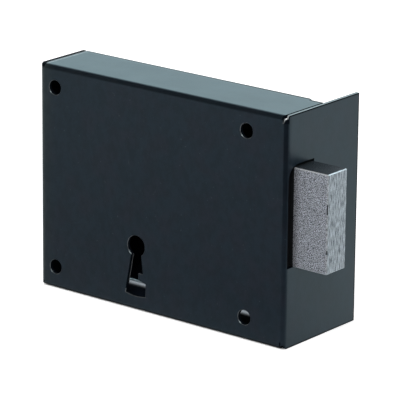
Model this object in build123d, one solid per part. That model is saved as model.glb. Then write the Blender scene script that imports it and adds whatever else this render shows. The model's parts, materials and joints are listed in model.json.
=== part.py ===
"""Rim box lock: a folded black steel case with a forend flange, a dead bolt and a key-operated lever pack.

Millimetres, +Z up, +X towards the bolt, +Y into the door. The origin is the centre of the four fixing
holes on the plane where the lock meets the face of the door.
"""
import os
from math import asin, cos, degrees, radians, sin, sqrt

from build123d import *

os.makedirs("parts", exist_ok=True)

# Case, one folded sheet
case_length = 100.0  # far wall to the outer face of the forend
case_height = 75.0
case_depth = 21.5  # front face to the door
forend_depth = 37.0  # front face to the free edge of the flange
sheet = 1.2
bend_radius = 1.6  # outside of every fold
seam_gap = 0.5  # between the cut edges of two walls that meet
corner_slit = 0.3  # where two folds meet at the front corners of the far wall
corner_seam_drop = 2.2  # the seam beside the forend runs on round the fold and so far down the front
corner_mitre_degrees = 45.0
corner_relief_radius = 0.7  # clipped corner of the folds beside the forend
corner_relief_inset = 0.8
wall_notch_length = 6.2  # step in the free edge of the top and bottom walls, beside the forend
wall_notch_depth = 1.2
wall_notch_slope = 1.6

# Holes of the case
hole_inset_far = 6.4  # hole centres from the outer face of the far wall
hole_inset_forend = 15.6  # from the outer face of the forend
hole_inset_level = 7.25  # from the top and from the underside
hole_diameter = 4.8
rim_chamfer = 0.2  # broken edge round the holes and the keyhole
key_backset = 59.5  # key axis from the outer face of the forend
key_height = 21.4  # key axis above the underside
keyhole_diameter = 7.0
keyhole_reach = 16.8  # key axis to the arc of the foot
keyhole_neck_left = 1.85
keyhole_neck_right = 2.05
keyhole_neck_drop = 3.2
keyhole_waist_right = 2.75
keyhole_ward_right = 0.85  # half width beside the ward that stands into the keyhole
keyhole_ward_top = 8.9
keyhole_ward_bottom = 11.3
keyhole_shoulder_drop = 12.1
keyhole_foot_left = 4.3
keyhole_foot_drop = 16.0
keyhole_foot_right = 3.85

# Back plate and what fastens it
back_plate_thickness = 1.5
back_plate_gap = 0.35  # all round, to the walls and the forend
pillar_diameter = 7.0
pillar_bore_depth = 10.0
pillar_inset_far = 15.0  # pillar axes from the far wall
pillar_inset_forend = 30.0  # pillar axes from the outer face of the forend
pillar_inset_top = 10.0
pillar_inset_bottom = 10.5
screw_diameter = 4.0
screw_length = 9.0
screw_head_diameter = 7.0
screw_slot_width = 0.9
screw_slot_depth = 0.7
screw_turn_first_degrees = 25.0
screw_turn_step_degrees = 50.0
thread_clearance = 0.05

# Bolt
bolt_height = 32.0
bolt_thickness_share = 0.456  # of the depth of the case
bolt_length = 26.0
bolt_throw = 13.0
bolt_setback = 3.85  # front face of the case to the bolt
bolt_centre_height = 42.2  # above the underside
bolt_arris = 0.3
slot_front_gap = 2.6  # the slot of the forend runs on into the fold
slot_back_gap = 0.45
slot_top_gap = 0.7
slot_bottom_gap = 0.2
slot_corner_gap = 0.2  # bolt to the rounded upper corner of the slot, beside the fold
guide_thickness = 2.0
guide_overlap_share = 0.4  # the guide plate above and below the bolt, of the room above the bolt
guide_clearance = 0.12
guide_edge_gap = 0.1  # to the inside of the fold and to the back plate
tail_thickness = 3.0
tail_lap = 11.0  # tail inside the rebate of the head
tail_end_wall = 3.0
tail_running_clearance = 0.08
tail_far_gap = 0.8  # to the far wall with the bolt drawn back
talon_depth = 4.3
rivet_diameter = 4.0
rivet_fit = 0.02
stump_side = 4.0
stump_from_head = 19.0  # stump axis from the rear of the head
stump_overhang = 0.3  # past the outermost levers

# Key, which only sets the talon and the bellies of the levers
key_clearance = 0.5

# Levers, two on each side of the tail
lever_layer_gap = 0.1  # free play of every layer on the post
lever_standoff = 0.95  # shoulder of the post, between the levers and the back plate
washer_thickness = 0.5
washer_diameter = 10.0
lever_post_diameter = 6.0
lever_post_shoulder_diameter = 10.0
lever_post_spigot_diameter = 5.0
lever_post_clearance = 0.06
lever_eye_radius = 6.5
lever_low_drop = 9.2  # lower edge below the bolt's centre line
lever_high_rise = 8.0  # upper edge above the bolt's centre line
lever_neck = 9.0  # post to where the lever has its full width
lever_end_wall = 2.4
lever_corner_radius = 2.0
lever_lift = 6.5  # at the stump
gate_clearance = 0.3
gate_play = 3.2  # bolt travel before the gate's tooth stops the stump
gate_path_shares = (0, 0.25, 0.5, 0.75, 1)  # parts of the throw at which the floor of the gate is drawn
belly_drop = 0.9
belly_radii = (14.0, 15.5, 15.1, 14.5)  # one step of the key for each lever, from the back plate
clip_thickness = 0.8
clip_diameter = 9.0
clip_mouth = 3.6
clip_groove_depth = 0.5
clip_fit = 0.05
post_end = 0.6  # post beyond the clip
stop_post_diameter = 4.0
stop_post_from_stump = 4.5
stop_gap = 0.1
spigot_step = 0.6  # spigots of the small posts are this much slimmer in radius

# Lever springs
spring_thickness = 0.4
spring_width = 1.2
spring_root_depth = 1.8
spring_root_from_post = 6.0
spring_rise_share = 0.45  # where the leaf bends, of the way from the lever up to the spring post
spring_bend_radius = 2.0
spring_tip_overhang = 2.4
spring_post_diameter = 4.0
spring_post_along_share = 0.64  # of the way from the lever post to the stump
spring_post_up_share = 0.47  # of the way from the levers to the inside of the top
spring_gap = 0.05

overrun = 1.0  # cuts run this far past the faces they open

# Planes and axes worked out from the sizes above
hole_spacing_x = case_length - hole_inset_far - hole_inset_forend
hole_spacing_z = case_height - 2 * hole_inset_level
left = -(hole_spacing_x / 2 + hole_inset_far)
right = left + case_length
top = case_height / 2
bottom = -top
front = -case_depth
inner_front = front + sheet
inner_right = right - sheet
inner_back = -back_plate_thickness
flange_edge = front + forend_depth
key_x = right - key_backset
key_z = bottom + key_height
bolt_z = bottom + bolt_centre_height
bolt_front = front + bolt_setback
bolt_back = bolt_front + bolt_thickness_share * case_depth
bolt_tip = right + bolt_throw
head_rear = bolt_tip - bolt_length
tail_back = bolt_back
tail_front = tail_back - tail_thickness

key_reach = keyhole_reach - key_clearance
talon_width = keyhole_foot_left + keyhole_foot_right + key_clearance / 2
bit_exit = (talon_width + bolt_throw) / 2
tail_low = key_z + sqrt(key_reach**2 - bit_exit**2)
tail_high = bolt_z + (bolt_z - tail_low)
talon_x = key_x + bolt_throw / 2
tail_far_end = left + sheet + tail_far_gap + bolt_throw

post_radius = lever_post_diameter / 2
post_x = tail_far_end + tail_end_wall + post_radius + tail_running_clearance
stump_x = head_rear - stump_from_head
lever_low = bolt_z - lever_low_drop
lever_high = bolt_z + lever_high_rise
lever_lift_degrees = degrees(asin(lever_lift / (stump_x - post_x)))


def block(x0, x1, y0, y1, z0, z1):
    """A box between pairs of planes."""
    return Pos((x0 + x1) / 2, (y0 + y1) / 2, (z0 + z1) / 2) * Box(x1 - x0, y1 - y0, z1 - z0)


def plate(sketch, y0, y1):
    """A sketch in X and Z, given thickness from y0 to y1."""
    return extrude(Plane.XZ.offset(-y1) * sketch, amount=y1 - y0)


def rod(x, z, radius, y0, y1):
    """A round bar along Y."""
    return plate(Pos(x, z) * Circle(radius), y0, y1)


def cone(x, z, radius0, radius1, y0, y1):
    """A tapered round bar along Y, radius0 at y0 and radius1 at y1."""
    rims = [
        Plane.XZ.offset(-y0) * Pos(x, z) * Circle(radius0),
        Plane.XZ.offset(-y1) * Pos(x, z) * Circle(radius1),
    ]
    return loft(rims)


def save(shape, name):
    """Write one sub-part."""
    export_step(shape, f"parts/{name}.step")


def rounded_front(x0, x1, y0, y1, z0, z1, radius):
    """A box whose four front edges are rounded, so that the folds meet in mitres at the corners."""
    across = block(x0, x1, y0, y1, z0, z1)
    upright = fillet(across.edges().filter_by(Axis.Z).group_by(Axis.Y)[0], radius)
    level = fillet(across.edges().filter_by(Axis.X).group_by(Axis.Y)[0], radius)
    return upright & level


fixing_places = [
    (side * hole_spacing_x / 2, level * hole_spacing_z / 2)
    for side in (-1, 1)
    for level in (-1, 1)
]


def keyhole(mirrored):
    """The keyhole's outline, or the same seen from the other face of the lock."""
    below = -keyhole_reach - overrun
    edge = [
        (-keyhole_neck_left, 0),
        (-keyhole_neck_left, -keyhole_neck_drop),
        (-keyhole_foot_left, -keyhole_foot_drop),
        (-keyhole_foot_left, below),
        (keyhole_foot_right, below),
        (keyhole_foot_right, -keyhole_shoulder_drop),
        (keyhole_ward_right, -keyhole_ward_bottom),
        (keyhole_ward_right, -keyhole_ward_top),
        (keyhole_waist_right, -keyhole_ward_top),
        (keyhole_neck_right, -keyhole_neck_drop),
        (keyhole_neck_right, 0),
    ]
    hand = -1 if mirrored else 1
    shank = Circle(keyhole_diameter / 2)
    bit = make_face(Polyline(*[(hand * x, z) for x, z in edge], close=True)) & Circle(keyhole_reach)
    return Pos(key_x, key_z) * (shank + bit)


def rim_edges(shape, y):
    """Edges of the holes in the large flat face at y, leaving out that face's own outline."""
    flush = [face for face in shape.faces().filter_by(Plane.XZ) if abs(face.center().Y - y) < rim_chamfer]
    largest = max(flush, key=lambda face: face.area)
    return [edge for wire in largest.inner_wires() for edge in wire.edges()]


def make_case():
    """The folded sheet: front, far wall, top, bottom and the forend with its flange."""
    skin = rounded_front(left, right, front, 0, bottom, top, bend_radius)
    hollow = rounded_front(
        left + sheet, inner_right, inner_front, overrun, bottom + sheet, top - sheet, bend_radius - sheet
    )
    case = skin - hollow
    case += block(inner_right, right, -sheet, flange_edge, bottom, top)

    fold_end = front + bend_radius
    for level in (-1, 1):
        low, high = sorted((level * (top - sheet), level * (top + overrun)))
        case -= block(left + sheet, left + sheet + seam_gap, fold_end, overrun, low, high)
        case -= block(inner_right - seam_gap, inner_right, fold_end, overrun, low, high)
        notch = Polyline(
            (inner_right, overrun),
            (inner_right, -wall_notch_depth),
            (inner_right - wall_notch_length + wall_notch_slope, -wall_notch_depth),
            (inner_right - wall_notch_length, 0),
            (inner_right - wall_notch_length, overrun),
            close=True,
        )
        case -= extrude(Plane.XY.offset(low) * make_face(notch), amount=high - low)

    slit_length = 2 * bend_radius
    slit = Pos(slit_length / 2, 0, 0) * Box(slit_length, bend_radius + overrun, corner_slit)
    slit_y = front + (bend_radius - overrun) / 2
    for level in (-1, 1):
        fold_z = level * (top - bend_radius)
        turn = level * corner_mitre_degrees
        case -= Pos(left + bend_radius, slit_y, fold_z) * Rot(0, turn - 180, 0) * slit
        low, high = sorted((level * (top - corner_seam_drop), level * (top + overrun)))
        case -= block(inner_right - seam_gap, inner_right, front - overrun, fold_end, low, high)

    relief = Pos(right - corner_relief_inset, front + corner_relief_inset) * Circle(corner_relief_radius)
    case -= extrude(Plane.XY.offset(top - sheet) * relief, amount=sheet + overrun)
    case -= extrude(Plane.XY.offset(bottom - overrun) * relief, amount=sheet + overrun)

    for x, z in fixing_places:
        case -= rod(x, z, hole_diameter / 2, front - overrun, inner_front + overrun)
    case -= plate(keyhole(False), front - overrun, inner_front + overrun)
    case = chamfer(rim_edges(case, front), rim_chamfer)

    slot = block(
        right - bend_radius,
        right + overrun,
        bolt_front - slot_front_gap,
        bolt_back + slot_back_gap,
        bolt_z - bolt_height / 2 - slot_bottom_gap,
        bolt_z + bolt_height / 2 + slot_top_gap,
    )
    upper_edges = slot.edges().filter_by(Axis.X).group_by(Axis.Z)[-1]
    front_room = slot_front_gap - slot_corner_gap
    top_room = slot_top_gap - slot_corner_gap
    corner_radius = front_room + top_room + slot_corner_gap + sqrt(2 * front_room * top_room)
    return case - fillet(upper_edges.sort_by(Axis.Y)[0], corner_radius)


pillar_places = [
    (x, z)
    for x in (left + pillar_inset_far, right - pillar_inset_forend)
    for z in (bottom + pillar_inset_bottom, top - pillar_inset_top)
]
screw_head_depth = (screw_head_diameter - screw_diameter) / 2


def make_pillars():
    """Threaded pillars welded to the inside of the front."""
    bore = screw_diameter / 2 + thread_clearance
    pillars = []
    for x, z in pillar_places:
        pillar = rod(x, z, pillar_diameter / 2, inner_front, inner_back)
        pillars.append(pillar - rod(x, z, bore, inner_back - pillar_bore_depth, 0))
    return Compound(children=pillars)


def make_screws():
    """Countersunk screws that hold the back plate, their slots at different turns."""
    screws = []
    for number, (x, z) in enumerate(pillar_places):
        shank = rod(x, z, screw_diameter / 2, -screw_length, -screw_head_depth)
        head = cone(x, z, screw_diameter / 2, screw_head_diameter / 2, -screw_head_depth, 0)
        slot = Box(screw_head_diameter + overrun, 2 * screw_slot_depth, screw_slot_width)
        turn = screw_turn_first_degrees + number * screw_turn_step_degrees
        screws.append(shank + head - Pos(x, 0, z) * Rot(0, turn, 0) * slot)
    return Compound(children=screws)


stop_x = stump_x - stop_post_from_stump
stop_z = lever_low - stop_gap - stop_post_diameter / 2
spring_post_x = post_x + spring_post_along_share * (stump_x - post_x)
spring_post_z = lever_high + spring_post_up_share * (top - sheet - lever_high)
small_posts = [
    (stop_x, stop_z, stop_post_diameter),
    (spring_post_x, spring_post_z, spring_post_diameter),
]


def make_back_plate():
    """The plate that closes the case and carries the lever pack."""
    body = block(
        left + sheet + back_plate_gap,
        inner_right - back_plate_gap,
        inner_back,
        0,
        bottom + sheet + back_plate_gap,
        top - sheet - back_plate_gap,
    )
    for x, z in fixing_places:
        body -= rod(x, z, hole_diameter / 2, inner_back - overrun, overrun)
    body -= plate(keyhole(True), inner_back - overrun, overrun)
    body -= rod(post_x, bolt_z, lever_post_spigot_diameter / 2, inner_back - overrun, overrun)
    for x, z, diameter in small_posts:
        body -= rod(x, z, diameter / 2 - spigot_step, inner_back - overrun, overrun)
    for x, z in pillar_places:
        head = screw_head_diameter / 2 + thread_clearance
        shank = screw_diameter / 2 + thread_clearance
        body -= cone(x, z, shank, head, -screw_head_depth, 0)
        body -= rod(x, z, shank, inner_back - overrun, 0)
    return body


# Layers of the lever pack, from the tail outwards: washer, lever, washer, lever, each with its free play
layer = washer_thickness + lever_layer_gap
lever_thickness = (inner_back - lever_standoff - tail_back) / 2 - layer - lever_layer_gap
lever_step = layer + lever_thickness + lever_layer_gap
rear_levers = [tail_back + layer + step * lever_step for step in (1, 0)]
front_levers = [tail_front - layer - lever_thickness - step * lever_step for step in (0, 1)]
lever_backs = [y + lever_thickness for y in rear_levers + front_levers]
pack_back = lever_backs[0] + lever_layer_gap
pack_front = front_levers[-1] - lever_layer_gap


def make_washers():
    """Washers between the levers and beside the tail."""
    backs = [
        lever_backs[0] - lever_thickness - lever_layer_gap,
        tail_back + layer - lever_layer_gap / 2,
        tail_front - lever_layer_gap / 2,
        lever_backs[3] + layer,
        pack_front,
    ]
    ring = Circle(washer_diameter / 2) - Circle(post_radius + lever_post_clearance)
    ring = Pos(post_x, bolt_z) * ring
    return Compound(children=[plate(ring, back - washer_thickness, back) for back in backs])


clip_back = pack_front - washer_thickness - lever_layer_gap
clip_front = clip_back - clip_thickness


def make_lever_post():
    """The post that carries the levers and guides the tail, peened into the back plate."""
    spigot = rod(post_x, bolt_z, lever_post_spigot_diameter / 2, inner_back, 0)
    shoulder = rod(post_x, bolt_z, lever_post_shoulder_diameter / 2, pack_back, inner_back)
    shaft = rod(post_x, bolt_z, post_radius, clip_front - post_end, pack_back)
    ring = Circle(post_radius + overrun) - Circle(post_radius - clip_groove_depth)
    groove = plate(Pos(post_x, bolt_z) * ring, clip_front - clip_fit, clip_back + clip_fit)
    return spigot + shoulder + shaft - groove


def make_clip():
    """The spring clip at the end of the lever post."""
    ring = Circle(clip_diameter / 2) - Circle(post_radius - clip_groove_depth + clip_fit)
    mouth = Pos(0, -clip_diameter / 2) * Rectangle(clip_mouth, clip_diameter)
    return plate(Pos(post_x, bolt_z) * (ring - mouth), clip_front, clip_back)


def make_small_post(x, z, diameter):
    """A plain post peened into the back plate, as long as the lever pack is deep."""
    radius = diameter / 2
    return rod(x, z, radius, pack_front, inner_back) + rod(x, z, radius - spigot_step, inner_back, 0)


def make_guide_plate():
    """The plate welded inside the forend, whose window guides the head of the bolt."""
    half = bolt_height / 2
    overlap = guide_overlap_share * (top - sheet - bolt_z - half)
    body = block(
        inner_right - guide_thickness,
        inner_right,
        front + bend_radius + guide_edge_gap,
        inner_back - guide_edge_gap,
        bolt_z - half - overlap,
        bolt_z + half + overlap,
    )
    window = block(
        inner_right - guide_thickness - overrun,
        inner_right + overrun,
        bolt_front - guide_clearance,
        bolt_back + guide_clearance,
        bolt_z - half - guide_clearance,
        bolt_z + half + guide_clearance,
    )
    return body - window


rivet_places = [(head_rear + tail_lap / 2, bolt_z + side * (tail_high - tail_low) / 4) for side in (-1, 1)]


def make_head():
    """The solid head of the bolt, with a rebate at the rear for the tail."""
    half = bolt_height / 2
    body = block(head_rear, bolt_tip, bolt_front, bolt_back, bolt_z - half, bolt_z + half)
    tip = body.faces().sort_by(Axis.X)[-1]
    long_edges = body.edges().filter_by(Axis.X)
    body = chamfer(tip.edges() + long_edges, bolt_arris)
    rebate_end = head_rear + tail_lap
    body -= block(head_rear - overrun, rebate_end, tail_front, tail_back + overrun, tail_low, tail_high)
    for x, z in rivet_places:
        body -= rod(x, z, rivet_diameter / 2 + rivet_fit, bolt_front - overrun, bolt_back + overrun)
    return body


def make_tail():
    """The flat tail of the bolt: guide slot, talon for the key and the square hole of the stump."""
    body = block(tail_far_end, head_rear + tail_lap, tail_front, tail_back, tail_low, tail_high)
    y0 = tail_front - overrun
    y1 = tail_back + overrun
    half_slot = post_radius + tail_running_clearance
    body -= block(post_x, post_x + bolt_throw, y0, y1, bolt_z - half_slot, bolt_z + half_slot)
    for x in (post_x, post_x + bolt_throw):
        body -= rod(x, bolt_z, half_slot, y0, y1)
    half = talon_width / 2
    body -= block(talon_x - half, talon_x + half, y0, y1, tail_low - overrun, tail_low + talon_depth)
    half = stump_side / 2 + rivet_fit
    body -= block(stump_x - half, stump_x + half, y0, y1, bolt_z - half, bolt_z + half)
    for x, z in rivet_places:
        body -= rod(x, z, rivet_diameter / 2 + rivet_fit, y0, y1)
    return body


def make_rivets():
    """Flush rivets through the head and the tail."""
    radius = rivet_diameter / 2
    return Compound(children=[rod(x, z, radius, bolt_front, bolt_back) for x, z in rivet_places])


def make_stump():
    """The square stump that the gates of the levers hold."""
    half = stump_side / 2
    y0 = front_levers[-1] - stump_overhang
    y1 = lever_backs[0] + stump_overhang
    return block(stump_x - half, stump_x + half, y0, y1, bolt_z - half, bolt_z + half)


def stump_seen_from_lever(travel):
    """Centre and half extents of the stump in the lever's frame, when the bolt has gone back by travel."""
    turn = radians(lever_lift_degrees * travel / bolt_throw)
    arm = stump_x - post_x - travel
    reach = stump_side / 2 * (cos(turn) + sin(turn))
    return post_x + arm * cos(turn), bolt_z - arm * sin(turn), reach


def make_gate():
    """The gate of a lever: two pockets, the tooth between them and the floor below the stump's path."""
    path = [stump_seen_from_lever(share * bolt_throw) for share in gate_path_shares]
    x_first, z_first, reach_first = path[0]
    x_last, z_last, reach_last = path[-1]
    x_pass, z_pass, reach_pass = stump_seen_from_lever(gate_play)
    roof = z_first + reach_first + gate_clearance
    tooth_low = z_pass + reach_pass + gate_clearance
    tooth_right = x_pass - reach_pass - gate_clearance
    tooth_left = stump_x - bolt_throw + stump_side / 2 + gate_clearance
    outline = [(x + reach + gate_clearance, z - reach - gate_clearance) for x, z, reach in path]
    outline += [
        (x_last - reach_last - gate_clearance, z_last - reach_last - gate_clearance),
        (x_last - reach_last - gate_clearance, roof),
        (tooth_left, roof),
        (tooth_left, tooth_low),
        (tooth_right, tooth_low),
        (tooth_right, roof),
        (x_first + reach_first + gate_clearance, roof),
    ]
    return make_face(Polyline(*outline, close=True))


spring_root_x = post_x + spring_root_from_post


def make_lever(belly_radius, y_back):
    """One lever: eye on the post, belly over the key, gate round the stump and slot for its spring."""
    end = stump_x + stump_side / 2 + gate_clearance + lever_end_wall
    neck = post_x + lever_neck
    edge = Polyline(
        (post_x, bolt_z + lever_eye_radius),
        (neck, lever_high),
        (end, lever_high),
        (end, lever_low),
        (neck, lever_low),
        (post_x, bolt_z - lever_eye_radius),
        close=True,
    )
    blade = make_face(edge)
    blade = fillet(blade.vertices().group_by(Axis.X)[-1], lever_corner_radius)
    blade += Pos(post_x, bolt_z) * Circle(lever_eye_radius)
    blade -= Pos(post_x, bolt_z) * Circle(post_radius + lever_post_clearance)
    blade -= Pos(key_x, key_z - belly_drop) * Circle(belly_radius)
    blade -= make_gate()
    lever = plate(blade, y_back - lever_thickness, y_back)
    middle = y_back - lever_thickness / 2
    half = spring_thickness / 2
    lever -= block(
        spring_root_x - half,
        spring_root_x + half,
        middle - spring_width / 2,
        middle + spring_width / 2,
        lever_high - spring_root_depth,
        lever_high + overrun,
    )
    return lever


def make_spring(y_back):
    """A bent leaf spring, held in the slot of its lever and bearing on the spring post from below."""
    middle = y_back - lever_thickness / 2
    tip = (
        spring_post_x + spring_tip_overhang,
        spring_post_z - spring_post_diameter / 2 - spring_gap - spring_thickness / 2,
    )
    root_low = lever_high - spring_root_depth
    line = FilletPolyline(
        (spring_root_x, root_low),
        (spring_root_x, lever_high + spring_rise_share * (spring_post_z - lever_high)),
        tip,
        radius=spring_bend_radius,
    )
    leaf = trace(line, spring_thickness)
    below_root = Rectangle(2 * spring_thickness, spring_thickness)
    leaf -= Pos(spring_root_x, root_low - spring_thickness / 2) * below_root
    return plate(leaf, middle - spring_width / 2, middle + spring_width / 2)


save(make_case(), "lock_case")
save(make_back_plate(), "back_plate")
save(make_pillars(), "cover_pillars")
save(make_screws(), "cover_screws")
save(make_guide_plate(), "bolt_guide_plate")
save(make_lever_post(), "lever_post")
save(make_washers(), "lever_washers")
save(make_clip(), "lever_post_clip")
save(make_small_post(*small_posts[0]), "lever_stop_post")
save(make_small_post(*small_posts[1]), "spring_post")
save(make_head(), "bolt_head")
save(make_tail(), "bolt_tail")
save(make_rivets(), "bolt_rivets")
save(make_stump(), "bolt_stump")
for number, (belly_radius, y_back) in enumerate(zip(belly_radii, lever_backs), start=1):
    save(make_lever(belly_radius, y_back), f"lever_{number}")
    save(make_spring(y_back), f"lever_spring_{number}")
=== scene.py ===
"""Looks of the rim box lock: black stoved enamel, a plain steel bolt, brass levers and blued springs."""
import json
from math import cos, hypot, radians, sin, tan

import bmesh
import bpy
from mathutils import Matrix, Vector


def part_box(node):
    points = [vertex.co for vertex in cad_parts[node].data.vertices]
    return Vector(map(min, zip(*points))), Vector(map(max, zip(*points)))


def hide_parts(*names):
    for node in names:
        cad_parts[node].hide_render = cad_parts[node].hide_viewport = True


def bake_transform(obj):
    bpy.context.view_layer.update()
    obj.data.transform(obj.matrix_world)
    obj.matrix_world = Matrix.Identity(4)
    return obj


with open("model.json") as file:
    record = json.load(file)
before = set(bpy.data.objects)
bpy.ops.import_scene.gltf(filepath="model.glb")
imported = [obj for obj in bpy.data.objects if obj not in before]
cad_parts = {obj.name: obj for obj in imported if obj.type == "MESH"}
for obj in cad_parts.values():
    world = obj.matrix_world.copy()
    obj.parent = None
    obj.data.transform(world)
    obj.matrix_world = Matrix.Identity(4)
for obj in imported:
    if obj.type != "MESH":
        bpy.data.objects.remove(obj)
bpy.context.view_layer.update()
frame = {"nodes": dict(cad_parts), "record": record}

MM = 0.001


def reach(node, axis):
    """Lowest and highest place of a piece along an axis, in millimetres."""
    low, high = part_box(node)
    return low[axis] / MM, high[axis] / MM


# Outside of the case and height of the bolt's middle, measured on the frame
LEFT, RIGHT = reach("lock_case", 0)
FRONT, FLANGE_EDGE = reach("lock_case", 1)
TOP = reach("lock_case", 2)[1]
BOLT_MIDDLE = sum(reach("bolt_head", 2)) / 2

# The sheet, its folds, the step in the walls beside the forend and the slit at the upper corner
SHEET = 1.2
BEND = 1.6
NOTCH_START = 48.2
NOTCH_DEPTH = 1.2
SEAM_DROP = 2.2

# Axis of the keyhole
KEY_X = -4.9
KEY_Z = -16.1

# Middle line of a lever spring, and the post that it bears on
SPRING_ROOT_X = -18.32
SPRING_ROOT_LOW = 10.9
SPRING_BEND_Z = 17.691
SPRING_BEND_RADIUS = 2.0
SPRING_TIP_X = 8.109
SPRING_TIP_Z = 21.542
SPRING_THICKNESS = 0.4
SPRING_ROUNDING = 0.05

# Colours of the enamel
NAVY_DEEP = (0.0078, 0.0132, 0.0225)
NAVY = (0.0100, 0.0160, 0.0262)
NAVY_WARM = (0.0120, 0.0130, 0.0225)
NAVY_MOTTLE = (0.0030, 0.0055, 0.0095)
# Painted shade of the upper fold, then painted sheen for the left of the front and for its fold
NAVY_FOLD_SHADE = (0.0015, 0.0030, 0.0045)
SHEEN = (0.0200, 0.0260, 0.0255)
FOLD_SHEEN = (0.060, 0.068, 0.066)
DUST = (0.16, 0.18, 0.19)
# Hole edges: partly rubbed, partly a painted highlight
RIM_WEAR_AND_HIGHLIGHT = (0.30, 0.32, 0.33)
# Painted highlight lines along edges and in the far seam
PAINTED_HIGHLIGHT_LINE = (0.42, 0.46, 0.48)
# Dull near black of the cut edges, also painted shade on the hole walls, seams, slot and folds
CUT_AND_SHADE_DEEP = (0.0010, 0.0025, 0.0045)
CUT_AND_SHADE = (0.0025, 0.0050, 0.0085)
# Painted highlight on the keyhole neck's wall
NECK_HIGHLIGHT = (0.13, 0.14, 0.15)
# Painted highlight of the corner slit
CORNER_HIGHLIGHT = (0.36, 0.39, 0.40)
INSIDE = (0.006, 0.010, 0.018)
# Bright metal standing for the light that falls in at the gap: a painted pool of light
GAP_POOL_DARK = (0.65, 0.67, 0.70)
GAP_POOL_LIGHT = (0.90, 0.92, 0.95)

# Colours of the bolt
SIDE_DARK = (0.030, 0.034, 0.050)
SIDE_LIGHT = (0.88, 0.90, 0.99)
END_DARK = (0.10, 0.105, 0.12)
END_LIGHT = (0.76, 0.77, 0.81)
STEEL_CLOUD = (0.45, 0.47, 0.50)
# Arrises: rubbed bright, with a painted highlight on the upper front one
ARRIS_WEAR_AND_HIGHLIGHT = (0.95, 0.96, 0.97)
STEEL_LEVEL = (0.010, 0.015, 0.022)
# Dark chips, and painted shade on the bolt's sides beside the forend
CHIPS_AND_SHADE = (0.012, 0.013, 0.015)


class Value:
    """A number of a finish that varies over the surface. Sums and products on it add Math nodes."""

    def __init__(self, shader, socket):
        self.shader = shader
        self.socket = socket

    def join(self, operation, *values):
        return self.shader.add("Math", {"operation": operation}, dict(enumerate(values)))[0]

    def __add__(self, other):
        return self.join("ADD", self, other)

    def __radd__(self, other):
        return self.join("ADD", other, self)

    def __sub__(self, other):
        return self.join("SUBTRACT", self, other)

    def __rsub__(self, other):
        return self.join("SUBTRACT", other, self)

    def __mul__(self, other):
        return self.join("MULTIPLY", self, other)

    def __rmul__(self, other):
        return self.join("MULTIPLY", other, self)

    def __abs__(self):
        return self.join("ABSOLUTE", self)

    def above(self, edge):
        return self.join("GREATER_THAN", self, edge)

    def below(self, edge):
        return self.join("LESS_THAN", self, edge)

    def between(self, low, high):
        return self.above(low) * self.below(high)

    def most(self, other):
        return self.join("MAXIMUM", self, other)

    def ramp(self, start, end, low=0.0, high=1.0):
        """Rises smoothly from low at start to high at end."""
        inputs = dict(enumerate((self, start, end, low, high)))
        return self.shader.add("MapRange", {"interpolation_type": "SMOOTHSTEP"}, inputs)[0]


class Outputs:
    """The outputs of a node, by name or place."""

    def __init__(self, shader, node):
        self.shader = shader
        self.node = node

    def __getitem__(self, name):
        return Value(self.shader, self.node.outputs[name])


class Shader:
    """A node tree in the making."""

    def __init__(self, tree):
        self.tree = tree
        tree.nodes.clear()

    def feed(self, value, socket):
        """Give a socket a link or a plain value."""
        if isinstance(value, Value):
            self.tree.links.new(value.socket, socket)
        elif socket.type == "RGBA" and len(value) == 3:
            socket.default_value = (*value, 1.0)
        else:
            socket.default_value = value

    def add(self, kind, settings=None, inputs=None):
        """A node of that kind, its settings first and then the values or links of its sockets."""
        node = self.tree.nodes.new("ShaderNode" + kind)
        for name, value in (settings or {}).items():
            setattr(node, name, value)
        for name, value in (inputs or {}).items():
            self.feed(value, node.inputs[name])
        return Outputs(self, node)

    def place(self):
        """Where a point lies, in millimetres, whatever the pose."""
        return self.scaled(self.add("TexCoord")["Object"], 1 / MM)

    def facing(self):
        """The outward direction of the surface, on the lock's own axes."""
        return self.add("TexCoord")["Normal"]

    def split(self, vector):
        """The three parts of a place or a direction."""
        parts = self.add("SeparateXYZ", None, {0: vector})
        return parts["X"], parts["Y"], parts["Z"]

    def stretch(self, vector, x, y, z):
        """The same place on axes that run faster or slower."""
        return self.add("VectorMath", {"operation": "MULTIPLY"}, {0: vector, 1: (x, y, z)})[0]

    def scaled(self, vector, factor):
        """A vector or a colour times a number."""
        return self.add("VectorMath", {"operation": "SCALE"}, {0: vector, "Scale": factor})[0]

    def colour(self, factor, first, second):
        """A colour between two, by a factor from 0 to 1."""
        return self.add("Mix", {"data_type": "RGBA"}, {0: factor, 6: first, 7: second})[2]

    def mixed(self, factor, first, second):
        """A surface between two, by a factor from 0 to 1."""
        return self.add("MixShader", None, {0: factor, 1: first, 2: second})[0]

    def noise(self, vector, scale, detail=2.0, roughness=0.5):
        """Soft noise from 0 to 1, with so many cells to a millimetre."""
        inputs = {"Vector": vector, "Scale": scale, "Detail": detail, "Roughness": roughness}
        return self.add("TexNoise", None, inputs)["Fac"]

    def bump(self, height, depth, after=None):
        """Relief of that depth in millimetres, on top of an earlier one."""
        inputs = {"Height": height, "Strength": 1.0, "Distance": depth * MM}
        if after is not None:
            inputs["Normal"] = after
        return self.add("Bump", None, inputs)["Normal"]

    def principled(self, **sockets):
        """A coat or metal by the names of its sockets."""
        names = {name.replace("_", " "): value for name, value in sockets.items()}
        return self.add("BsdfPrincipled", None, names)["BSDF"]

    def glow(self, colour, strength=1.0):
        """Light of that colour."""
        return self.add("Emission", None, {"Color": colour, "Strength": strength})[0]

    def surface(self, result):
        """What the material shows."""
        self.add("OutputMaterial", None, {"Surface": result})


class Spot:
    """A point of the lock's surface: where it lies and which way it faces."""

    def __init__(self, shader):
        self.place = shader.place()
        self.x, self.y, self.z = shader.split(self.place)
        self.east, self.north, self.up = shader.split(shader.facing())


def finish(name):
    """An empty material and its shader."""
    material = bpy.data.materials.new(name)
    material.use_nodes = True
    return material, Shader(material.node_tree)


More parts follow.
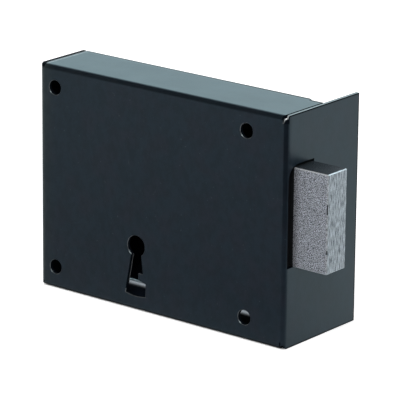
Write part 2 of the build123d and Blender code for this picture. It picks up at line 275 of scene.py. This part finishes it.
def strongest(first, *others):
    """The largest of several masks at each point."""
    for other in others:
        first = first.most(other)
    return first


# Masks of the enamel: each is 1 on the place that it names, fades at some of its edges and is 0 elsewhere

def flats(spot):
    """The front's field inside its folds, at any depth."""
    clearance = 0.3
    inset = BEND + clearance
    return spot.x.between(LEFT + inset, RIGHT - inset) * abs(spot.z).below(TOP - inset)


def front_face(spot):
    """The front, with the broken edges of its holes."""
    edge_depth = 0.35
    return flats(spot) * spot.y.below(FRONT + edge_depth)


def hole_edges(spot):
    """Broken edges of the holes and the keyhole."""
    return front_face(spot) * spot.north.between(-0.93, -0.4)


def neck(spot, bottom):
    """The keyhole's neck, down to that far below its axis."""
    half_width, start = 5.0, 2.6
    return abs(spot.x - KEY_X).below(half_width) * spot.z.between(KEY_Z - bottom, KEY_Z - start)


def neck_edge(spot):
    """Left edge of the neck, which has no pale rim."""
    foot = 15.0
    return hole_edges(spot) * neck(spot, foot) * spot.east.above(0.3) * abs(spot.up).below(0.35)


def rim_wear_and_highlight(spot):
    """Edges of the holes painted pale: partly rubbed, partly a painted highlight, most where they face up and
    to the right.
    """
    strength = 0.45 + 0.55 * spot.up.ramp(-0.1, 0.4) * spot.east.ramp(-0.35, 0.2)
    return hole_edges(spot) * strength * (1 - neck_edge(spot))


def hole_walls(spot):
    """Walls of the holes and the keyhole, through the sheet, painted near black as shade."""
    edge_depth, slack = 0.22, 0.02
    depth = spot.y.between(FRONT + edge_depth, FRONT + SHEET + slack)
    return flats(spot) * depth * abs(spot.north).below(0.5)


def neck_highlight_line(spot):
    """Painted highlight: a pale line along the inner edge of the neck's left wall."""
    foot, fade, width = 12.5, 0.40, 0.25
    depth = spot.y.ramp(FRONT + SHEET - fade, FRONT + SHEET - width)
    return hole_walls(spot) * depth * neck(spot, foot) * spot.east.above(0.7)


def inside_faces(spot):
    """Faces inside the case, in front of the back plate's outer face."""
    slack, wall_slack = 0.05, 0.01
    deep = spot.y.between(FRONT + SHEET + slack, -slack)
    wide = spot.x.between(LEFT + SHEET - slack, RIGHT - SHEET + slack)
    return deep * wide * abs(spot.z).below(TOP - SHEET + wall_slack)


def gap_light_strip(spot):
    """Bright metal on the inside of the bottom wall, near the back plate: a painted pool of the light from
    the gap, fading towards the front.
    """
    strip_fade, strip_start = -6.5, -2.8
    slack, plate_slack = 0.1, 0.05
    bottom = spot.up.above(0.7) * spot.z.below(SHEET + slack - TOP)
    return bottom * spot.y.ramp(strip_fade, strip_start) * spot.y.below(-plate_slack)


def forend_face(spot):
    """Outer face of the forend."""
    slack = 0.1
    return spot.x.above(RIGHT - slack) * spot.east.above(0.7)


def forend_rims(spot):
    """The forend's face along the flange's edge and along its upper and lower ends."""
    edge_fade, edge_width = 0.6, 0.25
    end_fade, end_width = 0.5, 0.2
    at_edge = spot.y.ramp(FLANGE_EDGE - edge_fade, FLANGE_EDGE - edge_width)
    at_ends = abs(spot.z).ramp(TOP - end_fade, TOP - end_width)
    return forend_face(spot) * at_edge.most(at_ends)


def forend_fold_shade(spot):
    """Painted shade on the fold between the front and the forend, with the face beside it, duller towards its
    top.
    """
    beside_fade, beside_width = 2.9, 1.5
    dim_height, full_height = -12, 20
    fold = spot.x.above(RIGHT - BEND) * spot.y.below(FRONT + BEND)
    fold = fold * spot.east.ramp(0.05, 0.4) * spot.east.ramp(0.99, 0.85)
    beside = 0.35 * forend_face(spot) * spot.y.ramp(FRONT + beside_fade, FRONT + beside_width)
    return fold.most(beside) * (0.15 + 0.45 * spot.z.ramp(dim_height, full_height))


def slot_shade(spot):
    """Walls of the bolt's slot, painted near black as shade."""
    half_height, depth, slack = 17.2, 15.0, 0.03
    through = spot.x.between(RIGHT - BEND, RIGHT - slack) * spot.east.below(0.6)
    tall = abs(spot.z - BOLT_MIDDLE).below(half_height)
    return through * tall * spot.y.between(FRONT + 0.4 * BEND, FRONT + depth)


def walls(spot):
    """Upper and lower sides of the lock, with the forend's ends."""
    slack = 0.1
    return abs(spot.up).above(0.7) * abs(spot.z).above(TOP - slack)


def forend_ends(spot):
    """The forend's upper and lower ends, as thick as the sheet."""
    return walls(spot) * spot.x.above(RIGHT - SHEET)


def forend_arrises(spot):
    """Both long arrises of the forend's ends."""
    fade, width = 0.3, 0.12
    outer = spot.x.ramp(RIGHT - fade, RIGHT - width)
    inner = spot.x.ramp(RIGHT - SHEET + fade, RIGHT - SHEET + width)
    return forend_ends(spot) * outer.most(inner)


def far_bands(spot):
    """Painted shade along the edge of the top and bottom at the far wall, with its upper corner, and a
    painted highlight line beside it.
    """
    edge_width, line_start, line_end, line_fade = 1.5, 1.6, 2.4, 3.0
    corner_width, corner_height, corner_depth = 1.9, 1.1, 2.2
    behind = walls(spot) * spot.y.above(FRONT + 0.6 * BEND)
    corner = spot.z.above(TOP - corner_height) * spot.y.below(FRONT + corner_depth)
    dark = (behind * spot.x.below(LEFT + edge_width)).most(corner * spot.x.below(LEFT + corner_width))
    pale = behind * spot.x.ramp(LEFT + edge_width, LEFT + line_start)
    return dark, pale * spot.x.ramp(LEFT + line_fade, LEFT + line_end)


def rear_bands(spot):
    """Dark rear edge of the top and bottom, stepped beside the forend, and the top's painted highlight line
    before it.
    """
    edge_width, edge_fade = 0.75, 1.15
    line_fade_in, line_start, line_end, line_fade_out = 0.95, 1.15, 1.8, 2.1
    dim_x, full_x = 0, 45
    behind = walls(spot) * spot.x.below(RIGHT - SHEET)
    from_edge = -1 * spot.y - NOTCH_DEPTH * spot.x.above(NOTCH_START)
    dark = behind * from_edge.ramp(edge_fade, edge_width) * (0.35 + 0.35 * spot.x.ramp(dim_x, full_x))
    pale = from_edge.ramp(line_fade_in, line_start) * from_edge.ramp(line_fade_out, line_end)
    return dark, behind * pale * spot.up.above(0)


def seams(spot):
    """Ends of the top and bottom that face the forend, darkened as painted shade in the seam, and the far
    wall's face in the gap beside them, painted pale as a highlight.
    """
    slack = 0.1
    seam, seam_end, far_start, far_end = 0.6, 0.5, 0.5, 0.3
    ends = abs(spot.z).above(TOP - SHEET - slack) * spot.east.above(0.6) * spot.y.above(FRONT + slack)
    at_forend = ends * spot.x.between(RIGHT - SHEET - seam, RIGHT - seam_end)
    at_far_wall = ends * spot.x.between(LEFT + far_start, LEFT + SHEET + far_end)
    return at_forend, at_far_wall


def corner_highlight_and_shade(spot):
    """Painted highlight of a pale stroke at the slit of the upper right corner, and painted shade in the dark
    spots on both sides of it.
    """
    lean, stroke_inset = 0.45, 0.35
    half_width, half_width_fade = 0.20, 0.38
    inset, slack, fade = 1.0, 0.05, 0.9
    bottom = TOP - SEAM_DROP - fade
    stroke_full, left_fade, left_full = TOP - 1.0, TOP - 1.6, TOP - 1.2
    corner = spot.y.below(FRONT + BEND) * spot.x.between(RIGHT - SHEET - inset, RIGHT - slack)
    aside = spot.x - (RIGHT - SHEET - stroke_inset + lean * (spot.z - TOP + SEAM_DROP))
    stroke = corner * abs(aside).ramp(half_width_fade, half_width) * spot.z.ramp(bottom, stroke_full)
    right_shade = corner * aside.above(0) * spot.z.ramp(bottom, TOP - SEAM_DROP)
    left_shade = corner * aside.below(0) * spot.z.ramp(left_fade, left_full) * (1 - spot.up.above(0.97))
    return stroke, right_shade.most(left_shade)


def scratch(shader, spot):
    """One fine scratch on the front, broken along its length."""
    start_x, start_z, low, high = -7.18, 6.93, 6.9, 13.4
    slope, half_width, half_width_fade = -5.06, 0.02, 0.10
    aside = abs(spot.z - start_z - (spot.x - start_x) * slope) * (1 / hypot(1, slope))
    line = aside.ramp(half_width_fade, half_width) * spot.z.between(low, high) * front_face(spot)
    return line * shader.noise(spot.place, scale=1.1).ramp(0.45, 0.6)


def fold_shading(shader, spot, paint):
    """The paint, darker on the upper fold as painted shade, and paler on the left of the front and its fold
    as a painted sheen.
    """
    band_width, band_fade, band_dim, band_full = 0.3, 7.0, -5, 25
    fold_width, fold_fade = 1.0, 2.4
    upper_fold_shade = spot.up.ramp(0.05, 0.25) * spot.up.ramp(0.97, 0.8) * spot.north.below(-0.1)
    band = spot.x.ramp(LEFT + band_fade, LEFT + band_width) * spot.y.below(FRONT + 0.7 * BEND)
    band = band * spot.x.below(0) * (0.45 + 0.35 * spot.z.ramp(band_dim, band_full))
    left_fold_sheen = spot.x.ramp(LEFT + fold_fade, LEFT + fold_width) * spot.y.below(FRONT + BEND)
    paint = shader.colour(0.7 * upper_fold_shade, paint, NAVY_FOLD_SHADE)
    paint = shader.colour(band, paint, SHEEN)
    return shader.colour(0.6 * left_fold_sheen, paint, FOLD_SHEEN)


def sound_enamel(shader, spot, grit, relief):
    """The glossy coat, with its clouds, dust, scratch and rubbed edges, and painted highlight lines, painted
    shade and painted sheen on its edges and folds.
    """
    cloud = shader.noise(spot.place, scale=0.09, detail=3.0)
    blush = shader.noise(spot.place, scale=0.16).ramp(0.42, 0.66)
    dust = shader.noise(spot.place, scale=0.9, detail=1.0).ramp(0.70, 0.76)
    dust = dust * shader.noise(spot.place, scale=3.5, detail=1.0).ramp(0.60, 0.66)
    mottle = shader.noise(shader.stretch(spot.place, 1.0, 1.0, 0.7), scale=0.45, detail=5.0, roughness=0.75)
    far_gap_highlight = seams(spot)[1]
    far_highlight = far_bands(spot)[1]
    rear_highlight = rear_bands(spot)[1]
    forend_end_highlight = forend_ends(spot) * (1 - forend_arrises(spot))
    # Painted highlight lines in the far seam, on the forend's ends and along the edges of the top and bottom
    highlight_lines = strongest(0.8 * far_gap_highlight, 0.5 * forend_end_highlight, 0.50 * far_highlight, 0.10 * rear_highlight)

    paint = shader.colour(cloud, NAVY_DEEP, NAVY)
    paint = shader.colour(0.8 * blush, paint, NAVY_WARM)
    paint = shader.colour((0.35 * dust).most(0.25 * scratch(shader, spot)), paint, DUST)
    paint = shader.colour(rim_wear_and_highlight(spot) * (0.50 + 0.3 * grit), paint, RIM_WEAR_AND_HIGHLIGHT)
    paint = shader.colour(highlight_lines, paint, PAINTED_HIGHLIGHT_LINE)
    paint = fold_shading(shader, spot, paint)
    return shader.principled(
        Base_Color=shader.colour(0.45 * mottle.ramp(0.40, 0.62), paint, NAVY_MOTTLE),
        Roughness=0.24 + 0.1 * cloud + 0.05 * grit + 0.25 * dust,
        IOR=1.5,
        Specular_IOR_Level=0.5,
        Specular_Tint=(0.80, 0.96, 1.0),
        Normal=relief,
    )


def cut_edges_and_painted_shade(shader, spot, grit, relief):
    """Dull cut edges of the sheet, hole walls and inner faces, near black: painted shade on the hole walls
    and on the seams, slot, folds and far edges that share it, with the painted highlights of the neck line
    and the corner stroke.
    """
    stroke = corner_highlight_and_shade(spot)[0]
    cut = shader.colour(grit, CUT_AND_SHADE_DEEP, CUT_AND_SHADE)
    cut = shader.colour(neck_highlight_line(spot), cut, NECK_HIGHLIGHT)
    cut = shader.colour(inside_faces(spot), cut, INSIDE)
    return shader.principled(
        Base_Color=shader.colour(stroke, cut, CORNER_HIGHLIGHT),
        Roughness=0.75 + 0.2 * grit,
        Specular_IOR_Level=0.05,
        Normal=relief,
    )


def black_enamel():
    """Stoved black enamel with a faint orange peel, dull on the cut edges of the sheet, and dull and near
    black as painted shade in the holes, seams, slot and folds.
    """
    material, shader = finish("black_enamel")
    spot = Spot(shader)
    grit = shader.noise(spot.place, scale=6.0)
    peel = shader.noise(spot.place, scale=1.6)
    relief = shader.bump(grit, depth=0.0015, after=shader.bump(peel, depth=0.012))
    sound = sound_enamel(shader, spot, grit, relief)
    cut = cut_edges_and_painted_shade(shader, spot, grit, relief)
    bright = shader.principled(
        Base_Color=shader.colour(grit, GAP_POOL_DARK, GAP_POOL_LIGHT),
        Metallic=1.0,
        Roughness=0.30 + 0.1 * grit,
        Normal=relief,
    )
    # Where the dull near-black finish goes: cut edges, painted shade in the holes, seams, slot, folds and far
    # edges, and the corner's painted highlight
    dull = strongest(
        forend_rims(spot),
        far_bands(spot)[0],
        0.85 * forend_arrises(spot),
        rear_bands(spot)[0],
        hole_walls(spot),
        seams(spot)[0],
        slot_shade(spot),
        forend_fold_shade(spot),
        neck_edge(spot),
        inside_faces(spot),
        *corner_highlight_and_shade(spot),
    )
    coat = shader.mixed(0.97 * dull, sound, cut)
    # Painted pool of light: bright metal where the light from the gap falls
    shader.surface(shader.mixed(gap_light_strip(spot), coat, bright))
    return material


def bolt_chips(shader, spot):
    """Dark chips on the middle arris: a long one, a short one and fine ones between."""
    long_height, long_half, long_fade = 9.6, 1.4, 2.0
    short_height, short_half, short_fade = -4.1, 0.5, 0.8
    long_chip = abs(spot.z - long_height).ramp(long_fade, long_half)
    short_chip = abs(spot.z - short_height).ramp(short_fade, short_half)
    fine = shader.noise(spot.place, scale=0.8).ramp(0.45, 0.6)
    middle_arris = spot.east.above(0.3) * spot.north.below(-0.3)
    return middle_arris * strongest(0.9 * long_chip, 0.9 * short_chip, 0.45 * fine)


def bolt_steel():
    """Plain sintered steel: grainy on the sides, brushed upright on the end, its arrises rubbed bright, the
    upper front one brightest as a painted highlight.
    """
    material, shader = finish("bolt_steel")
    spot = Spot(shader)
    end = spot.east.above(0.9)
    level = abs(spot.up).above(0.9)
    arris = strongest(abs(spot.east), abs(spot.north), abs(spot.up)).below(0.9)
    upper_arris_highlight = spot.up.above(0.3) * spot.north.below(-0.3)
    # Painted shade: a dark line where the bolt leaves the slot, and its sides darkened next to the forend
    line_width, line_fade, smear_width, smear_fade = 0.05, 0.25, 0.4, 2.8
    side_shade = 0.4 * spot.x.ramp(RIGHT + smear_fade, RIGHT + smear_width) * (1 - end)
    forend_side_shade = spot.x.ramp(RIGHT + line_fade, RIGHT + line_width).most(side_shade)

    grain = shader.noise(spot.place, scale=4.2, detail=1.0)
    speck = shader.noise(spot.place, scale=5.0, roughness=0.6)
    brushed = shader.noise(shader.stretch(spot.place, 1.0, 1.8, 0.16), scale=2.1, detail=3.0, roughness=0.6)
    cloud = shader.noise(spot.place, scale=0.22)
    side = (0.80 * grain + 0.20 * speck).ramp(0.46, 0.54)
    line = (0.70 * brushed + 0.30 * speck).ramp(0.40, 0.60)
    sides = shader.colour(side, SIDE_DARK, SIDE_LIGHT)
    steel = shader.colour(end, sides, shader.colour(line, END_DARK, END_LIGHT))
    steel = shader.colour(0.25 * cloud, steel, STEEL_CLOUD)
    # Rubbed arrises, with a painted highlight on the upper front one
    steel = shader.colour((0.45 + 0.25 * upper_arris_highlight) * arris, steel, ARRIS_WEAR_AND_HIGHLIGHT)
    steel = shader.colour(level * (1 - 0.06 * side), steel, STEEL_LEVEL)
    steel = shader.colour(bolt_chips(shader, spot).most(forend_side_shade), steel, CHIPS_AND_SHADE)
    shader.surface(
        shader.principled(
            Base_Color=steel,
            Metallic=0.7,
            Roughness=0.62 - 0.08 * side - 0.15 * arris,
            Normal=shader.bump(side, depth=0.03),
        )
    )
    return material


def bare_metal(name, dark, light, roughness):
    """Turned or blanked metal with fine grain and a slow change of tone."""
    material, shader = finish(name)
    place = shader.place()
    cloud = shader.noise(place, scale=0.25, detail=3.0)
    grain = shader.noise(shader.stretch(place, 0.35, 1.0, 2.2), scale=3.0, detail=3.0)
    shader.surface(
        shader.principled(
            Base_Color=shader.colour((0.6 * cloud + 0.4 * grain).ramp(0.3, 0.7), dark, light),
            Metallic=1.0,
            Roughness=roughness + 0.12 * grain,
            Normal=shader.bump(grain, depth=0.004),
        )
    )
    return material


def black_steel():
    """Dull black oxide of the guide plate."""
    material, shader = finish("black_steel")
    place = shader.place()
    cloud = shader.noise(place, scale=0.4, detail=3.0)
    grit = shader.noise(place, scale=5.0)
    shader.surface(
        shader.principled(
            Base_Color=shader.colour(cloud, (0.003, 0.003, 0.004), (0.007, 0.007, 0.008)),
            Roughness=0.72 + 0.15 * grit,
            Specular_IOR_Level=0.2,
            Normal=shader.bump(grit, depth=0.006),
        )
    )
    return material


# Darkest and lightest colour and roughness of each bare metal
bare_metals = {
    "steel_plain": ((0.42, 0.43, 0.44), (0.58, 0.59, 0.60), 0.32),
    "screw_steel": ((0.44, 0.44, 0.42), (0.62, 0.62, 0.58), 0.30),
    "lever_brass": ((0.52, 0.36, 0.13), (0.72, 0.53, 0.23), 0.28),
    "spring_steel": ((0.10, 0.13, 0.20), (0.20, 0.22, 0.27), 0.30),
}

finishes = {"black_enamel": black_enamel(), "black_steel": black_steel(), "bolt_steel": bolt_steel()}
for name, (dark, light, roughness) in bare_metals.items():
    finishes[name] = bare_metal(name, dark, light, roughness)

for part in frame["record"]["subparts"]:
    piece = frame["nodes"][part["node"]]
    piece.data.materials.clear()
    piece.data.materials.append(finishes[part["material_slot"]])


def spring_line():
    """Points along the middle of a spring, from its root in the lever to its tip under the post."""
    corner = Vector((SPRING_ROOT_X, SPRING_BEND_Z))
    tip = Vector((SPRING_TIP_X, SPRING_TIP_Z))
    turn = Vector((0.0, 1.0)).angle(tip - corner)
    inset = SPRING_BEND_RADIUS * tan(turn / 2)
    centre = corner + Vector((SPRING_BEND_RADIUS, -inset))
    upright_steps, bend_steps, leaf_steps = 4, 10, 24
    points = [Vector((SPRING_ROOT_X, SPRING_ROOT_LOW))]
    points += [corner + Vector((0.0, -inset - drop)) for drop in range(upright_steps, 0, -1)]
    for step in range(bend_steps + 1):
        angle = turn * step / bend_steps
        points.append(centre + SPRING_BEND_RADIUS * Vector((-cos(angle), sin(angle))))
    start = points[-1]
    points += [start.lerp(tip, step / leaf_steps) for step in range(1, leaf_steps + 1)]
    return points


def spring_mesh(name, middle, width):
    """The leaf as a closed strip round its middle line."""
    line = spring_line()
    mesh = bmesh.new()
    rings = []
    for step, point in enumerate(line):
        along = (line[min(step + 1, len(line) - 1)] - line[max(step - 1, 0)]).normalized()
        side = Vector((-along.y, along.x)) * SPRING_THICKNESS / 2
        ring = []
        for face, edge in ((-1, -1), (-1, 1), (1, 1), (1, -1)):
            place = point + face * side
            ring.append(mesh.verts.new(Vector((place.x, middle + edge * width / 2, place.y)) * MM))
        rings.append(ring)
    for first, second in zip(rings, rings[1:]):
        for corner in range(4):
            after = (corner + 1) % 4
            mesh.faces.new((first[corner], first[after], second[after], second[corner]))
    mesh.faces.new(rings[0][::-1])
    mesh.faces.new(rings[-1])
    bmesh.ops.recalc_face_normals(mesh, faces=mesh.faces)
    data = bpy.data.meshes.new(name)
    mesh.to_mesh(data)
    mesh.free()
    return data


def make_spring(number):
    """A bent leaf that follows its lever at the root and the spring post at the tip."""
    front, back = reach(f"lever_spring_{number}", 1)
    middle = (front + back) / 2
    data = spring_mesh(f"spring_{number}", middle, width=back - front)
    data.materials.append(finishes["spring_steel"])
    spring = bpy.data.objects.new(f"spring_{number}", data)
    bpy.context.scene.collection.objects.link(spring)
    rounding = spring.modifiers.new("rounding", "BEVEL")
    rounding.width = SPRING_ROUNDING * MM
    rounding.segments = 2
    rounding.limit_method = "ANGLE"
    rounding.angle_limit = radians(40)
    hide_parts(f"lever_spring_{number}")
    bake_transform(spring)


for number in range(1, 5):
    make_spring(number)


def mirror_ray(light):
    """1 for the rays that make reflections and show through glass."""
    return light["Is Glossy Ray"].most(light["Is Transmission Ray"])


def floor_tone(x, y, apart):
    """How bright the floor looks in the lock's enamel: graded from left to right, and bright behind, with a
    painted shadow close round the lock.
    """
    behind = y.ramp(-60, 80)
    middle = x.ramp(-200, 140, 0.41, 0.18) * x.ramp(50, 140, 1.0, 0.45)
    far_left = x.ramp(-500, -280, 0.4, 0.0)
    by_forend = 0.25 * x.ramp(110, 58) * x.above(52) * y.above(-21)
    tone = 0.95 * behind + (1 - behind) * (middle + far_left) + by_forend
    return tone * apart.ramp(-1.6, 1.4)


def floor_finish():
    """Plain pale finish, white to the camera apart from the shadow on it and a painted contact shadow close
    round the lock.
    """
    material, shader = finish("floor")
    x, y, z = shader.split(shader.place())
    aside = abs(x - (LEFT + RIGHT) / 2) - (RIGHT - LEFT) / 2
    apart = strongest(aside, FRONT - y, y)
    lit = shader.add("BsdfDiffuse", None, {"Color": (0.8, 0.8, 0.8)})[0]
    # Painted contact shadow: no lift close round the lock
    lift = shader.glow(shader.scaled((0.65, 0.65, 0.65), apart.ramp(-1.6, 0.4)))
    seen = shader.add("AddShader", None, {0: lit, 1: lift})[0]
    mirrored = shader.glow(shader.scaled((0.82, 0.96, 1.0), floor_tone(x, y, apart)))
    light = shader.add("LightPath")
    direct = shader.mixed(light["Is Camera Ray"], lit, seen)
    shader.surface(shader.mixed(mirror_ray(light), direct, mirrored))
    return material


def make_floor():
    """Floor just under the lock."""
    half_side, drop = 8000, 0.2
    quarters = ((-1, -1), (1, -1), (1, 1), (-1, 1))
    corners = [Vector((x * half_side, y * half_side, -TOP - drop)) * MM for x, y in quarters]
    data = bpy.data.meshes.new("floor")
    data.from_pydata(corners, [], [(0, 1, 2, 3)])
    data.materials.append(floor_finish())
    floor = bpy.data.objects.new("floor", data)
    bpy.context.scene.collection.objects.link(floor)


def make_world():
    """White surroundings to the camera, a dim room before a bright backdrop to reflections, and grey fill."""
    world = bpy.data.worlds.new("studio")
    world.use_nodes = True
    bpy.context.scene.world = world
    shader = Shader(world.node_tree)

    def sky(colour, strength):
        return shader.add("Background", None, {"Color": colour, "Strength": strength})[0]

    x, y, z = shader.split(shader.add("TexCoord")["Generated"])
    white, cool = (1.0, 1.0, 1.0), (0.68, 0.93, 1.0)
    fill, room, backdrop = 0.35, 0.06, 1.42
    mirrored = shader.mixed(y.ramp(0.15, 0.65), sky(cool, room), sky(cool, backdrop))
    light = shader.add("LightPath")
    unseen = shader.mixed(mirror_ray(light), sky(white, fill), mirrored)
    seen = shader.mixed(light["Is Camera Ray"], unseen, sky(white, 1.0))
    shader.add("OutputWorld", None, {"Surface": seen})


def hang(lamp, place, back):
    """Puts a lamp at a place, with its back that way."""
    holder = bpy.data.objects.new(lamp.name, lamp)
    bpy.context.scene.collection.objects.link(holder)
    holder.location = place
    holder.rotation_mode = "QUATERNION"
    holder.rotation_quaternion = back.to_track_quat("Z", "Y")
    return holder


def make_lamp(name, direction, distance, size, watts):
    """A square soft lamp in that direction, aimed at the lock."""
    lamp = bpy.data.lights.new(name, "AREA")
    lamp.size = size
    lamp.energy = watts
    back = Vector(direction).normalized()
    hang(lamp, back * distance, back)


def make_gap_light():
    """Light of the gap under the back plate, from a strip lamp inside that the camera doesn't see."""
    lamp = bpy.data.lights.new("gap", "AREA")
    lamp.shape = "RECTANGLE"
    lamp.size = 84 * MM
    lamp.size_y = 1.4 * MM
    lamp.spread = radians(120)
    lamp.energy = 0.00014
    lamp.color = (0.88, 0.95, 1.0)
    place = Vector((2.0, -1.7, -35.4)) * MM
    holder = hang(lamp, place, back=Vector((0.0, 0.80, 0.60)))
    holder.visible_camera = False


def make_camera():
    """Camera at the photograph's viewpoint, with its focal length in pixels of the picture."""
    place = Vector((613.7, -763.7, 296.34)) * MM
    right = Vector((0.77965, 0.62614, 0.00912)).normalized()
    ahead = Vector((-0.59646, 0.74698, -0.29372))
    ahead = (ahead - ahead.dot(right) * right).normalized()
    focal_pixels, picture_pixels, sensor = 3183.6, 400, 36.0
    camera = bpy.data.objects.new("camera", bpy.data.cameras.new("camera"))
    bpy.context.scene.collection.objects.link(camera)
    turn = Matrix((right, right.cross(ahead), -ahead)).transposed()
    camera.matrix_world = Matrix.Translation(place) @ turn.to_4x4()
    camera.data.sensor_width = sensor
    camera.data.lens = focal_pixels / picture_pixels * sensor
    camera.data.clip_start = 0.05
    camera.data.clip_end = 50.0
    bpy.context.scene.camera = camera


make_floor()
make_world()
make_lamp("key", direction=(0.38, -0.61, 0.70), distance=1.2, size=0.5, watts=8.5)
make_lamp("side", direction=(-0.97, -0.10, 0.22), distance=1.3, size=0.6, watts=4.0)
make_lamp("back", direction=(-0.2, 0.85, 0.55), distance=1.3, size=0.6, watts=4.0)
make_gap_light()
make_camera()
bpy.context.scene.view_settings.view_transform = "Standard"
